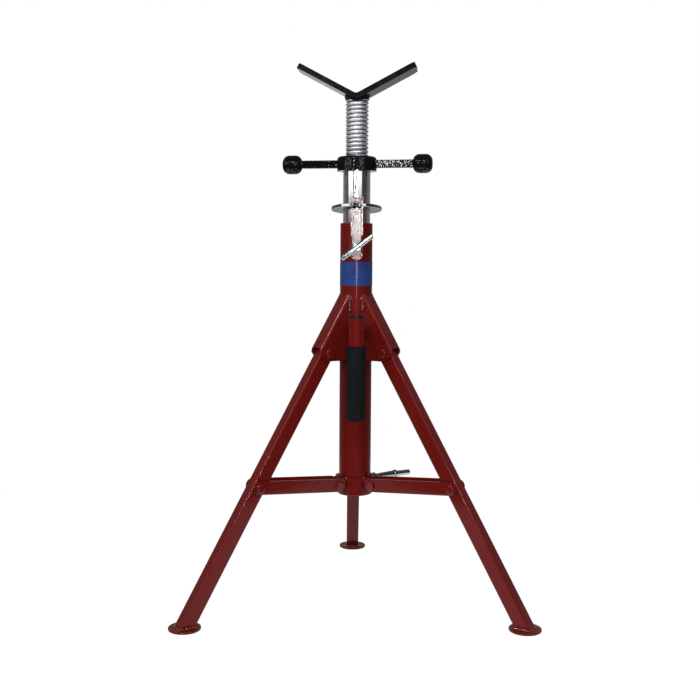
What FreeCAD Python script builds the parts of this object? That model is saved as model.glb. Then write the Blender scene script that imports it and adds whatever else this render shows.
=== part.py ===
import FreeCAD, Part
import math
import os
from FreeCAD import Vector

# Folding pipe jack stand, in millimetres. Z is up, the floor is z = 0, the column stands
# on the Z axis, and the carry handle side is the front, towards -Y.

# Column and the tube that slides in it
column_od = 57.0
column_wall = 4.0
column_bottom = 194.5
column_above_pivot = 226.5
slide_clearance = 0.5
inner_wall = 3.5
inner_above_column = 90.5
inner_length = 470.0
rim_chamfer = 0.8
stop_ring_height = 6.0
stop_ring_lip = 2.7
stop_ring_edge = 2.2

# Cross pin and the row of holes that it goes through
pin_d = 12.0
pin_below_top = 43.0
pin_clearance = 0.2
hole_pitch = 50.0
hole_count = 7
pin_tip_past = 4.0
pin_tip_chamfer = 1.5
pin_head_d = 14.5
pin_head_length = 32.0
pin_head_edge = 1.2
grip_bar_d = 9.0
grip_bar_length = 66.0
grip_bar_slope = 37.3
grip_bar_past_end = 4.5
grip_bar_edge = 0.9

# Channel at the front that carries the cross pin and the friction ring
channel_width = 20.5
channel_depth = 23.5
channel_sheet = 2.5
channel_below_pin = 21.5
channel_above_column = 43.5
taper_above_pin = 19.5
channel_toe_depth = 8.0
window_gap = 1.0
window_strip = 5.0
rivet_hole_d = 4.0
rivet_above_pin = 53.0

# Friction ring, shown tilted as it grips the inner tube
ring_od = 89.0
ring_thickness = 6.0
ring_edge = 1.2
ring_above_pin = 68.5
ring_tilt = 6.5
ring_bite = 0.12

# Handle nut
nut_height = 25.4
nut_base_d = 67.5
nut_base_height = 7.0
nut_base_edge = 1.2
nut_body_d = 69.5
nut_top_round = 5.5
nut_turn = -11.0
thread_clearance = 0.1
arm_height = 13.8
arm_depth = 12.0
arm_edge = 1.6
ball_d = 33.0
ball_length = 34.0
ball_round = 11.5
ball_centre_x = 116.3

# Jack screw and V head
screw_d = 40.0
screw_in_tube = 64.0
screw_end_chamfer = 2.0
vee_turn = -5.5
vee_slope = 27.9
vee_plate = 9.5
vee_depth = 56.0
vee_reach = 99.8
vee_above_tube = 131.2
vee_bend_radius = 9.0
vee_corner = 6.0
head_collar_wall = 0.9
head_collar_flare = 10.0
head_collar_rise = 11.0
head_collar_below = 11.4

# Name band
band_below_channel = 3.4
band_height = 41.6
band_thickness = 0.3
band_glue = 0.05
band_sweep = 330.0

# Carry handle
handle_offset = 76.0
handle_tube_d = 27.3
handle_tube_wall = 2.0
handle_above_stub = 23.0
handle_below_stub = 151.0
handle_cap_d = 25.5
handle_cap_height = 6.0
handle_cap_edge = 1.5
cap_plug_length = 14.0
handle_grip_d = 33.5
grip_below_stub = 25.0
grip_end_round = 6.0
grip_top_edge = 1.0
handle_grip_end = 3.0
stub_d = 22.0
stub_wall = 2.5
stub_above_pivot = 40.0

# Legs, their pivots and feet
leg_names = ("rear", "left", "right")
rear_azimuth = 90.0
leg_side = 25.0
leg_wall = 2.0
leg_corner = 3.0
leg_pivot_radius = 62.5
leg_pivot_height = 452.0
leg_above_pivot = 9.0
foot_radius = 328.0
foot_d = 55.0
foot_thickness = 4.0
foot_edge = 1.2

# Leg brackets of folded sheet
bracket_sheet = 4.0
bracket_side_gap = 0.8
bracket_bend = 5.0
bracket_web_gap = 3.6
bracket_above_pivot = 101.8
bracket_web_above_pivot = 9.0
bracket_under_pivot = 14.5
bracket_skirt = 9.0
bracket_lobe_reach = 13.5
bracket_lobe_foot = 4.5
bracket_lobe_drop = 7.5
slot_length = 7.0
slot_width = 3.0
slot_from_top = 16.0
slot_from_end = 10.6

# Pivot bolts
bolt_d = 10.0
small_bolt_d = 8.0
pivot_clearance = 0.08
bolt_head_ratio = 1.7
small_bolt_head_ratio = 2.05
bolt_head_height = 4.6
bolt_crown_share = 0.6
nut_ratio = 1.7
nut_thickness = 5.0
bolt_end = 1.5

# Struts from the sliding collar to the legs
strut_from_pivot = 262.0
strut_sheet = 3.0
strut_height = 24.0
strut_side_gap = 1.6
strut_bend = 4.0
strut_web_start = 27.0
strut_web_back = 62.0
stud_clearance = 0.6

# Sliding collar with its three lugs
collar_clearance = 0.4
collar_wall = 2.3
collar_height = 27.0
lug_pivot_radius = 41.0
lug_above_column_end = 20.1
lug_sheet = 3.0
lug_lobe = 8.0
lug_tangent = 38.0
lug_tangent_inset = 0.15
lug_ear_top = 11.4
lug_ear_land = 2.0
lug_side_gap = 0.3
lug_back_height = 24.0

# Spring plunger that locks the collar
plunger_azimuth = 30.0
plunger_below_collar_top = 7.2
plunger_d = 8.0
plunger_chamfer = 0.8
plunger_travel = 4.8
plunger_tip = 29.3
plunger_fit = 0.08
barrel_d = 14.0
barrel_end = 42.0
barrel_gap = 0.6
sleeve_small_d = 9.0
sleeve_large_d = 13.0
sleeve_end = 84.0
flange_d = 14.6
flange_thickness = 4.0
pull_d = 10.2
pull_bore_d = 6.4
pull_bore_depth = 12.0
pull_end = 117.0

# Worked out from the sizes above
column_r = column_od / 2
column_bore_r = column_r - column_wall
inner_r = column_bore_r - slide_clearance
column_top = leg_pivot_height + column_above_pivot
inner_top = column_top + inner_above_column
inner_bottom = inner_top - inner_length
pin_r = pin_d / 2
pin_height = column_top - pin_below_top
channel_bottom = pin_height - channel_below_pin
channel_top = column_top + channel_above_column
channel_taper_top = pin_height + taper_above_pin
rivet_height = pin_height + rivet_above_pin
ring_height = pin_height + ring_above_pin
band_top = channel_bottom - band_below_channel
band_bottom = band_top - band_height
screw_bottom = inner_top - screw_in_tube
vee_valley = inner_top + vee_above_tube
head_collar_bottom = vee_valley - head_collar_below
stub_height = leg_pivot_height + stub_above_pivot
handle_top = stub_height + handle_above_stub
handle_bottom = stub_height - handle_below_stub
handle_grip_top = stub_height - grip_below_stub
collar_bottom = column_bottom + stop_ring_height
collar_top = collar_bottom + collar_height
lug_pivot_height = column_bottom + lug_above_column_end
plunger_height = collar_top - plunger_below_collar_top
leg_half = leg_side / 2
leg_angle = math.atan2(foot_radius - leg_pivot_radius, leg_pivot_height - foot_thickness)
leg_length = (leg_pivot_height - foot_thickness) / math.cos(leg_angle)
strut_leg_radius = leg_pivot_radius + strut_from_pivot * math.sin(leg_angle)
strut_leg_height = leg_pivot_height - strut_from_pivot * math.cos(leg_angle)
strut_run = strut_leg_radius - lug_pivot_radius
strut_rise = strut_leg_height - lug_pivot_height
strut_length = math.hypot(strut_run, strut_rise)
strut_angle = math.atan2(strut_rise, strut_run)
folded_drop = math.sqrt(strut_length ** 2 - (leg_pivot_radius - lug_pivot_radius) ** 2)
collar_travel = leg_pivot_height - strut_from_pivot + folded_drop - lug_pivot_height
collar_r = column_r + collar_clearance + collar_wall
bracket_half = leg_half + bracket_side_gap + bracket_sheet
bracket_top = leg_pivot_height + bracket_above_pivot
bracket_web_end = leg_pivot_height + bracket_web_above_pivot
strut_half = leg_half + strut_side_gap + strut_sheet
channel_front = -(column_r + channel_depth)
web_front = -(column_r + channel_sheet)
pin_end = web_front - pin_head_length

# How far a cutting shape runs past a face, and how near counts as the same place
past = 1.0
near_zero = 1e-6

UP = Vector(0, 0, 1)
SIDE = Vector(0, 1, 0)
OUT = Vector(1, 0, 0)


def save(name, shape):
    solid = shape.removeSplitter()
    if len(solid.Solids) == 1:
        solid = solid.Solids[0]
    print(f"{name}: {len(solid.Solids)} solid, {solid.Volume / 1000:.1f} cm3, {solid.isValid()}")
    solid.exportStep(f"parts/{name}.step")


def rod(radius, start, end):
    """A cylinder between two points."""
    axis = end - start
    return Part.makeCylinder(radius, axis.Length, start, axis)


def tube(outer_r, inner_r, bottom, top):
    wall = Part.makeCylinder(outer_r, top - bottom, Vector(0, 0, bottom))
    return wall.cut(Part.makeCylinder(inner_r, top - bottom, Vector(0, 0, bottom)))


def block(x0, x1, y0, y1, z0, z1):
    return Part.makeBox(x1 - x0, y1 - y0, z1 - z0, Vector(x0, y0, z0))


def plate(points, y0, y1):
    """A flat plate with an outline in the XZ plane, from y0 to y1."""
    corners = [Vector(x, y0, z) for x, z in points]
    face = Part.Face(Part.makePolygon(corners + corners[:1]))
    return face.extrude(Vector(0, y1 - y0, 0))


def side_plate(points, x0, x1):
    """A flat plate with an outline in the YZ plane, from x0 to x1."""
    corners = [Vector(x0, y, z) for y, z in points]
    face = Part.Face(Part.makePolygon(corners + corners[:1]))
    return face.extrude(Vector(x1 - x0, 0, 0))


def edges_along(shape, direction, length):
    """The straight edges of a shape that run along a direction for a length."""
    found = []
    for edge in shape.Edges:
        span = edge.Vertexes[-1].Point - edge.Vertexes[0].Point
        if abs(abs(span.dot(direction)) - length) < near_zero and abs(span.Length - length) < near_zero:
            found.append(edge)
    return found


def rounded_bar(x0, x1, half_y, z0, z1, radius, only_below=False):
    """A bar along X with its long edges rounded, or only the two lower ones."""
    bar = block(x0, x1, -half_y, half_y, z0, z1)
    edges = edges_along(bar, OUT, x1 - x0)
    if only_below:
        edges = [edge for edge in edges if abs(edge.CenterOfMass.z - z0) < near_zero]
    return bar.makeFillet(radius, edges)


def folded_channel(x0, x1, half_width, sheet, bend, bottom, top):
    """Sheet folded into a channel along X, open at the top."""
    outside = rounded_bar(x0, x1, half_width, bottom, top, bend, True)
    inside = rounded_bar(x0 - past, x1 + past, half_width - sheet, bottom + sheet, top + past,
                         bend - sheet, True)
    return outside.cut(inside)


def bolt(diameter, head_ratio, centre, half_grip):
    """A domed bolt along Y through a pivot, with its hexagon nut at the +Y end."""
    near = centre - SIDE * half_grip
    far = centre + SIDE * half_grip
    shank = rod(diameter / 2, near, far + SIDE * (nut_thickness + bolt_end))
    head = Part.makeCylinder(diameter * head_ratio / 2, bolt_head_height, near, -SIDE)
    crown = min(head.Edges, key=lambda edge: edge.CenterOfMass.y)
    head = head.makeFillet(bolt_head_height * bolt_crown_share, [crown])
    return shank.fuse([head, hexagon(diameter * nut_ratio, nut_thickness, far)])


def hexagon(across_flats, thickness, base):
    """A hexagon prism along +Y with its base centre at a point."""
    reach = across_flats / math.sqrt(3)
    corners = []
    for k in range(7):
        turn = math.radians(60 * k)
        corners.append(base + Vector(reach * math.cos(turn), 0, reach * math.sin(turn)))
    return Part.Face(Part.makePolygon(corners)).extrude(SIDE * thickness)


def turned(shape, azimuth):
    copy = shape.copy()
    copy.rotate(Vector(0, 0, 0), UP, azimuth)
    return copy


def along_leg(shape):
    """Carry a shape drawn along +X, with +Z outwards, to the leg line below its pivot."""
    copy = shape.copy()
    copy.rotate(Vector(0, 0, 0), SIDE, 90 - math.degrees(leg_angle))
    copy.translate(Vector(leg_pivot_radius, 0, leg_pivot_height))
    return copy


def column_tube():
    body = tube(column_r, column_bore_r, column_bottom, column_top)
    rims = [edge for edge in body.Edges if abs(edge.CenterOfMass.z - column_top) < near_zero]
    body = body.makeChamfer(rim_chamfer, [edge for edge in rims if len(edge.Vertexes) == 1])
    hole_r = pin_r + pin_clearance
    cross_hole = rod(hole_r, Vector(0, -column_od, pin_height), Vector(0, column_od, pin_height))
    body = body.cut(cross_hole)
    for height in (plunger_height, plunger_height + collar_travel):
        lock_hole = rod(plunger_d / 2 + pin_clearance, Vector(0, 0, height), Vector(column_od, 0, height))
        body = body.cut(turned(lock_hole, plunger_azimuth))
    return body


def column_stop_ring():
    ring = tube(column_r + stop_ring_lip, column_r, column_bottom, column_bottom + stop_ring_height)
    lower = [edge for edge in ring.Edges if abs(edge.CenterOfMass.z - column_bottom) < near_zero]
    outer = max(lower, key=lambda edge: edge.BoundBox.XLength)
    return ring.makeFillet(stop_ring_edge, [outer])


def inner_tube():
    body = tube(inner_r, inner_r - inner_wall, inner_bottom, inner_top)
    for k in range(hole_count):
        height = pin_height - k * hole_pitch
        hole = rod(pin_r + pin_clearance, Vector(0, -column_od, height), Vector(0, column_od, height))
        body = body.cut(hole)
    return body


def ring_bracket():
    """The channel at the front, with the window that the friction ring hangs in."""
    half = channel_width / 2
    outline = [
        (0, channel_bottom + half),
        (0, channel_top),
        (channel_front, channel_top),
        (channel_front, channel_taper_top),
        (-(column_r + channel_toe_depth), channel_bottom + half),
    ]
    cheeks = side_plate(outline, -half, half)
    hollow = block(-half + channel_sheet, half - channel_sheet, channel_front - past, web_front,
                   channel_bottom, channel_top + past)
    cheeks = cheeks.cut(hollow)
    toe = rod(half, Vector(0, web_front, channel_bottom + half), Vector(0, 0, channel_bottom + half))
    body = cheeks.fuse(toe)
    body = body.cut(Part.makeCylinder(column_r, channel_top, Vector(0, 0, 0)))
    slope = math.tan(math.radians(ring_tilt))
    swell = ring_thickness / 2 / math.cos(math.radians(ring_tilt))
    window_bottom = ring_height + column_r * slope - swell - window_gap
    window_top = ring_height + ring_od / 2 * slope + swell + window_gap
    window = block(-half - past, half + past, channel_front + window_strip, 0, window_bottom, window_top)
    body = body.cut(window)
    pin_hole = rod(pin_r + pin_clearance, Vector(0, channel_front, pin_height), Vector(0, 0, pin_height))
    rivet = rod(rivet_hole_d / 2, Vector(0, channel_front, rivet_height), Vector(0, 0, rivet_height))
    return body.cut([pin_hole, rivet])


def friction_ring():
    tilt = math.radians(ring_tilt)
    bore_d = (2 * (inner_r + ring_bite) + ring_thickness * math.sin(tilt)) / math.cos(tilt)
    half = ring_thickness / 2
    ring = tube(ring_od / 2, bore_d / 2, ring_height - half, ring_height + half)
    rims = [edge for edge in ring.Edges
            if edge.BoundBox.XLength > ring_od - past and len(edge.Vertexes) == 1]
    ring = ring.makeFillet(ring_edge, rims)
    ring.rotate(Vector(0, 0, ring_height), OUT, -ring_tilt)
    return ring


def locking_pin():
    shank = rod(pin_r, Vector(0, column_r + pin_tip_past, pin_height), Vector(0, web_front, pin_height))
    tip = max(shank.Edges, key=lambda edge: edge.CenterOfMass.y)
    shank = shank.makeChamfer(pin_tip_chamfer, [tip])
    head = rod(pin_head_d / 2, Vector(0, web_front, pin_height), Vector(0, pin_end, pin_height))
    end = min(head.Edges, key=lambda edge: edge.CenterOfMass.y)
    head = head.makeFillet(pin_head_edge, [end])
    return shank.fuse(head).cut(pin_grip_bar())


def pin_grip_bar():
    centre = Vector(0, pin_end - grip_bar_past_end + grip_bar_d / 2, pin_height)
    slope = math.radians(grip_bar_slope)
    reach = Vector(math.cos(slope), 0, math.sin(slope)) * (grip_bar_length / 2)
    return rod(grip_bar_d / 2, centre - reach, centre + reach)


def pin_handle():
    bar = pin_grip_bar()
    ends = [edge for edge in bar.Edges if len(edge.Vertexes) == 1]
    return bar.makeFillet(grip_bar_edge, ends)


def handle_nut():
    """Cast nut with a round hub and two bars that end in balls."""
    base = Part.makeCylinder(nut_base_d / 2, nut_base_height, Vector(0, 0, inner_top))
    crown = Part.makeCylinder(nut_body_d / 2, nut_height, Vector(0, 0, inner_top))
    top_edge = max(crown.Edges, key=lambda edge: edge.CenterOfMass.z)
    crown = crown.makeFillet(nut_top_round, [top_edge])
    base_edge = [edge for edge in base.Edges
                 if len(edge.Vertexes) == 1 or edge.BoundBox.ZLength < near_zero]
    base = base.makeFillet(nut_base_edge, base_edge)
    centre_z = inner_top + nut_height / 2
    body = base.fuse(crown)
    bar = rounded_bar(-ball_centre_x, ball_centre_x, arm_depth / 2, centre_z - arm_height / 2,
                      centre_z + arm_height / 2, arm_edge)
    body = body.fuse(bar)
    for way in (-1, 1):
        ball_start = Vector(way * (ball_centre_x - ball_length / 2), 0, centre_z)
        ball = Part.makeCylinder(ball_d / 2, ball_length, ball_start, OUT * way)
        rims = [edge for edge in ball.Edges if len(edge.Vertexes) == 1]
        body = body.fuse(ball.makeFillet(ball_round, rims))
    bore_r = screw_d / 2 + thread_clearance
    return body.cut(Part.makeCylinder(bore_r, nut_height + 2 * past, Vector(0, 0, inner_top - past)))


def v_head():
    """The bent plate that the pipe lies in."""
    angle = math.radians(vee_slope)
    under = vee_plate / math.cos(angle)
    top_z = vee_valley + vee_reach * math.tan(angle)
    tip_x = vee_reach + vee_plate * math.sin(angle)
    tip_z = top_z - vee_plate * math.cos(angle)
    points = [
        (-vee_reach, top_z),
        (0, vee_valley),
        (vee_reach, top_z),
        (tip_x, tip_z),
        (0, vee_valley - under),
        (-tip_x, tip_z),
    ]
    body = plate(points, -vee_depth / 2, vee_depth / 2)
    valley = [edge for edge in edges_along(body, SIDE, vee_depth) if abs(edge.CenterOfMass.x) < near_zero]
    inside = max(valley, key=lambda edge: edge.CenterOfMass.z)
    outside = min(valley, key=lambda edge: edge.CenterOfMass.z)
    body = body.makeFillet(vee_bend_radius + vee_plate, [outside])
    valley_z = inside.CenterOfMass.z
    inside = [edge for edge in edges_along(body, SIDE, vee_depth)
              if abs(edge.CenterOfMass.x) < near_zero and abs(edge.CenterOfMass.z - valley_z) < near_zero]
    body = body.makeFillet(vee_bend_radius, inside)
    corners = []
    for edge in body.Edges:
        centre = edge.CenterOfMass
        if abs(centre.x) > vee_reach - past and abs(abs(centre.y) - vee_depth / 2) < near_zero:
            if abs(edge.Length - vee_plate) < past:
                corners.append(edge)
    return body.makeChamfer(vee_corner, corners)


def under_vee(head):
    """Everything below the V plate that stands over the screw, to trim what meets it."""
    half = vee_depth / 2
    tall = block(-half, half, -half, half, screw_bottom, vee_valley + screw_d)
    pieces = tall.cut(head).Solids
    return min(pieces, key=lambda solid: solid.BoundBox.ZMin)


def jack_screw(head):
    body = Part.makeCylinder(screw_d / 2, vee_valley + screw_d - screw_bottom, Vector(0, 0, screw_bottom))
    body = body.common(under_vee(head))
    lower = min(body.Edges, key=lambda edge: edge.CenterOfMass.z)
    return body.makeChamfer(screw_end_chamfer, [lower])


def head_collar(head):
    """The fillet of weld round the screw, whose foot rises to both sides as the V does."""
    foot_r = screw_d / 2 + head_collar_wall
    height = vee_valley + screw_d - head_collar_bottom
    wide_r = foot_r + height * math.tan(math.radians(head_collar_flare))
    collar = Part.makeCone(foot_r, wide_r, height, Vector(0, 0, head_collar_bottom))
    collar = collar.cut(Part.makeCylinder(screw_d / 2, height, Vector(0, 0, head_collar_bottom)))
    half = vee_depth / 2
    side_z = head_collar_bottom + half * math.tan(math.radians(head_collar_rise))
    below = [
        (-half, side_z),
        (0, head_collar_bottom),
        (half, side_z),
        (half, screw_bottom),
        (-half, screw_bottom),
    ]
    return collar.common(under_vee(head)).cut(plate(below, -half, half))


def name_band():
    inner = column_r + band_glue
    band = tube(inner + band_thickness, inner, band_bottom, band_top)
    gap = 360 - band_sweep
    wedge = Part.makeCylinder(column_od, band_top - band_bottom, Vector(0, 0, band_bottom), UP, gap)
    return band.cut(turned(wedge, 90 - gap / 2))


def handle_axis(height):
    return Vector(0, -handle_offset, height)


def carry_tube():
    radius = handle_tube_d / 2
    outside = rod(radius, handle_axis(handle_bottom), handle_axis(handle_top))
    return outside.cut(rod(radius - handle_tube_wall, handle_axis(handle_bottom), handle_axis(handle_top)))


def carry_cap():
    disc = rod(handle_cap_d / 2, handle_axis(handle_top), handle_axis(handle_top + handle_cap_height))
    rim = max(disc.Edges, key=lambda edge: edge.CenterOfMass.z)
    disc = disc.makeFillet(handle_cap_edge, [rim])
    plug_r = handle_tube_d / 2 - handle_tube_wall
    plug = rod(plug_r, handle_axis(handle_top - cap_plug_length), handle_axis(handle_top))
    return disc.fuse(plug)


def carry_grip():
    radius = handle_grip_d / 2
    bottom = handle_bottom - handle_grip_end
    sleeve = rod(radius, handle_axis(bottom), handle_axis(handle_grip_top))
    lower = min(sleeve.Edges, key=lambda edge: edge.CenterOfMass.z)
    sleeve = sleeve.makeFillet(grip_end_round, [lower])
    upper = max(sleeve.Edges, key=lambda edge: edge.CenterOfMass.z)
    sleeve = sleeve.makeFillet(grip_top_edge, [upper])
    bore = rod(handle_tube_d / 2, handle_axis(handle_bottom), handle_axis(handle_grip_top + past))
    return sleeve.cut(bore)


def carry_stub():
    start = Vector(0, 0, stub_height)
    end = Vector(0, -handle_offset, stub_height)
    stub = rod(stub_d / 2, start, end).cut(rod(stub_d / 2 - stub_wall, start, end))
    stub = stub.cut(Part.makeCylinder(column_r, column_top))
    return stub.cut(rod(handle_tube_d / 2, handle_axis(handle_bottom), handle_axis(handle_top)))


def leg_bracket():
    """Folded sheet that straddles the leg and holds its pivot, drawn along +X outwards."""
    web_face = leg_half + bracket_web_gap + bracket_sheet
    long = bracket_top
    channel = folded_channel(-long, long / 2, bracket_half, bracket_sheet, bracket_bend, -web_face, long)
    channel.rotate(Vector(0, 0, 0), OUT, 180)
    channel = along_leg(channel)
    reach = web_face / math.cos(leg_angle)
    bottom = leg_pivot_height - bracket_under_pivot
    top_r = leg_pivot_radius + reach - bracket_above_pivot * math.tan(leg_angle)
    end_r = leg_pivot_radius + reach - bracket_web_above_pivot * math.tan(leg_angle)
    outline = [
        (0, bracket_top),
        (top_r, bracket_top),
        (end_r, bracket_web_end),
        (end_r, bracket_web_end - bracket_skirt),
        (leg_pivot_radius + bracket_lobe_reach, bottom + bracket_lobe_drop),
        (leg_pivot_radius + bracket_lobe_foot, bottom),
        (0, bottom),
    ]
    body = channel.common(plate(outline, -bracket_half, bracket_half))
    half_gap = bracket_half - bracket_sheet
    body = body.cut(block(0, long, -half_gap, half_gap, 0, bracket_web_end))
    body = body.cut(Part.makeCylinder(column_r, bracket_top + past))
    body = body.cut(rod(bolt_d / 2, Vector(leg_pivot_radius, -long, leg_pivot_height),
                        Vector(leg_pivot_radius, long, leg_pivot_height)))
    web_shift = web_face * math.tan(leg_angle)
    top_x = web_shift - bracket_above_pivot / math.cos(leg_angle)
    end_x = web_shift - bracket_web_above_pivot / math.cos(leg_angle)
    for x in (top_x + slot_from_top, end_x - slot_from_end):
        ends = (x - slot_length / 2, x + slot_length / 2)
        slot = block(*ends, -slot_width / 2, slot_width / 2, 0, web_face + past)
        body = body.cut(along_leg(slot))
    return max(body.Solids, key=lambda solid: solid.Volume)


def leg_tube():
    outside = rounded_bar(-leg_above_pivot, leg_length + leg_side, leg_half, -leg_half, leg_half, leg_corner)
    bore = leg_half - leg_wall
    inside = rounded_bar(-leg_above_pivot - past, leg_length + leg_side + past, bore, -bore, bore,
                         leg_corner - leg_wall)
    body = along_leg(outside.cut(inside))
    body = body.cut(block(0, foot_radius * 2, -leg_side, leg_side, -leg_side, foot_thickness))
    pivots = (
        (bolt_d, leg_pivot_radius, leg_pivot_height),
        (small_bolt_d, strut_leg_radius, strut_leg_height),
    )
    for diameter, radius, height in pivots:
        start = Vector(radius, -leg_side, height)
        body = body.cut(rod(diameter / 2 + pivot_clearance, start, Vector(radius, leg_side, height)))
    return body


def foot_disc():
    disc = Part.makeCylinder(foot_d / 2, foot_thickness, Vector(foot_radius, 0, 0))
    rims = [edge for edge in disc.Edges if edge.BoundBox.ZLength < near_zero]
    return disc.makeFillet(foot_edge, rims)


def leg_bolt():
    return bolt(bolt_d, bolt_head_ratio, Vector(leg_pivot_radius, 0, leg_pivot_height), bracket_half)


def along_strut(shape):
    """Carry a shape drawn along +X from the lug pivot to the strut's own slope."""
    copy = shape.copy()
    copy.rotate(Vector(0, 0, 0), SIDE, -math.degrees(strut_angle))
    copy.translate(Vector(lug_pivot_radius, 0, lug_pivot_height))
    return copy


def strut():
    """Folded channel, open upwards, whose flanges reach past its web at both ends."""
    half = strut_height / 2
    channel = folded_channel(-half, strut_length + half, strut_half, strut_sheet, strut_bend, -half, half)
    start = Vector(0, -strut_half, 0)
    end = Vector(strut_length, -strut_half, 0)
    outline = block(0, strut_length, -strut_half, strut_half, -half, half)
    outline = outline.fuse([Part.makeCylinder(half, 2 * strut_half, start, SIDE),
                            Part.makeCylinder(half, 2 * strut_half, end, SIDE)])
    body = channel.common(outline)
    flange = strut_half - strut_sheet
    body = body.cut(block(-half, strut_web_start, -flange, flange, -half, half))
    body = body.cut(block(strut_length - strut_web_back, strut_length + half, -flange, flange, -half, half))
    hole = Part.makeCylinder(small_bolt_d / 2 + pivot_clearance, 2 * strut_half, start, SIDE)
    seat = Part.makeCylinder(small_bolt_d / 2, 2 * strut_half, end, SIDE)
    return along_strut(body.cut([hole, seat]))


def strut_stud():
    """Short headed stud in one flange, at the leg end of the strut."""
    inner_end = leg_half + stud_clearance
    start = Vector(strut_length, inner_end, 0)
    face = Vector(strut_length, strut_half, 0)
    shank = rod(small_bolt_d / 2, start, face)
    head = Part.makeCylinder(small_bolt_d * small_bolt_head_ratio / 2, bolt_head_height, face, SIDE)
    crown = max(head.Edges, key=lambda edge: edge.CenterOfMass.y)
    return shank.fuse(head.makeFillet(bolt_head_height * bolt_crown_share, [crown]))


def collar_ring():
    bore_r = column_r + collar_clearance
    ring = tube(collar_r, bore_r, collar_bottom, collar_top)
    bore = rod(plunger_d / 2 + plunger_fit, Vector(0, 0, plunger_height),
               Vector(column_od, 0, plunger_height))
    return ring.cut(turned(bore, plunger_azimuth))


def collar_lug():
    """Two ears and the back that joins them, seated on the collar."""
    half = leg_half + strut_side_gap - lug_side_gap
    lobe = Part.makeCylinder(lug_lobe, 2 * half, Vector(lug_pivot_radius, -half, lug_pivot_height), SIDE)
    ear_foot = lug_pivot_height - lug_lobe
    tangent = math.radians(lug_tangent)
    tangent_r = lug_lobe - lug_tangent_inset
    ear_top = lug_pivot_height + lug_ear_top
    outline = [
        (0, ear_foot),
        (lug_pivot_radius, ear_foot),
        (lug_pivot_radius + tangent_r * math.sin(tangent),
         lug_pivot_height + tangent_r * math.cos(tangent)),
        (collar_r + lug_ear_land, ear_top),
        (0, ear_top),
    ]
    body = plate(outline, -half, half).fuse(lobe)
    gap = half - lug_sheet
    body = body.cut(block(collar_r + lug_sheet, 2 * collar_r, -gap, gap, 0, column_top))
    body = body.cut(block(0, 2 * collar_r, -gap, gap, ear_foot + lug_back_height, column_top))
    body = body.cut(Part.makeCylinder(collar_r, column_top))
    hole_start = Vector(lug_pivot_radius, -half, lug_pivot_height)
    hole = Part.makeCylinder(small_bolt_d / 2, 2 * half, hole_start, SIDE)
    return body.cut(hole)


def collar_bolt():
    centre = Vector(lug_pivot_radius, 0, lug_pivot_height)
    return bolt(small_bolt_d, small_bolt_head_ratio, centre, strut_half)


def plunger_point(radius):
    return Vector(radius, 0, plunger_height)


def plunger_barrel():
    body = rod(barrel_d / 2, plunger_point(0), plunger_point(barrel_end))
    body = body.cut(Part.makeCylinder(collar_r, column_top))
    body = body.cut(rod(plunger_d / 2 + plunger_fit, plunger_point(0), plunger_point(barrel_end)))
    return turned(body, plunger_azimuth)


def lock_plunger():
    """Rod with a tapered sleeve, a flange and a hollow pull, drawn back as it is pulled out."""
    sleeve_start = barrel_end + plunger_travel + barrel_gap
    body = rod(plunger_d / 2, plunger_point(plunger_tip), plunger_point(sleeve_start + past))
    tip = min(body.Edges, key=lambda edge: edge.CenterOfMass.x)
    body = body.makeChamfer(plunger_chamfer, [tip])
    sleeve = Part.makeCone(sleeve_small_d / 2, sleeve_large_d / 2, sleeve_end - sleeve_start,
                           plunger_point(sleeve_start), OUT)
    flange = rod(flange_d / 2, plunger_point(sleeve_end), plunger_point(sleeve_end + flange_thickness))
    pull = rod(pull_d / 2, plunger_point(sleeve_end), plunger_point(pull_end))
    bore = rod(pull_bore_d / 2, plunger_point(pull_end - pull_bore_depth), plunger_point(pull_end + past))
    return turned(body.fuse([sleeve, flange, pull]).cut(bore), plunger_azimuth)


def main():
    os.makedirs("parts", exist_ok=True)
    head = v_head()
    screw_head = {"head_collar": head_collar(head), "v_head": head}
    singles = {
        "column_tube": column_tube(),
        "column_stop_ring": column_stop_ring(),
        "inner_tube": inner_tube(),
        "ring_bracket": ring_bracket(),
        "friction_ring": friction_ring(),
        "locking_pin": locking_pin(),
        "pin_handle": pin_handle(),
        "handle_nut": turned(handle_nut(), nut_turn),
        "jack_screw": turned(jack_screw(head), vee_turn),
        "name_band": name_band(),
        "carry_tube": carry_tube(),
        "carry_cap": carry_cap(),
        "carry_grip": carry_grip(),
        "carry_stub": carry_stub(),
        "collar_ring": collar_ring(),
        "plunger_barrel": plunger_barrel(),
        "lock_plunger": lock_plunger(),
    }
    for name, shape in singles.items():
        save(name, shape)
    for name, shape in screw_head.items():
        save(name, turned(shape, vee_turn))
    stud = strut_stud()
    mirrored = stud.mirror(Vector(0, 0, 0), SIDE)
    repeated = {
        "leg_bracket": leg_bracket(),
        "leg_tube": leg_tube(),
        "foot_disc": foot_disc(),
        "strut": strut(),
        "strut_stud_a": along_strut(stud),
        "strut_stud_b": along_strut(mirrored),
        "collar_lug": collar_lug(),
    }
    bolts = {"leg_bolt": leg_bolt(), "collar_bolt": collar_bolt()}
    for count, side in enumerate(leg_names):
        azimuth = rear_azimuth + count * 360 / len(leg_names)
        for name, shape in repeated.items():
            save(f"{name}_{side}", turned(shape, azimuth))
        for name, shape in bolts.items():
            if side == "left":
                shape = shape.mirror(Vector(0, 0, 0), SIDE)
            save(f"{name}_{side}", turned(shape, azimuth))
    print(f"leg angle {math.degrees(leg_angle):.3f}, strut angle {math.degrees(strut_angle):.3f}")
    print(f"collar travel {collar_travel:.3f}, strut length {strut_length:.3f}")


main()
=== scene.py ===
import bpy
import math
import random
from mathutils import Matrix, Vector, noise


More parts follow.
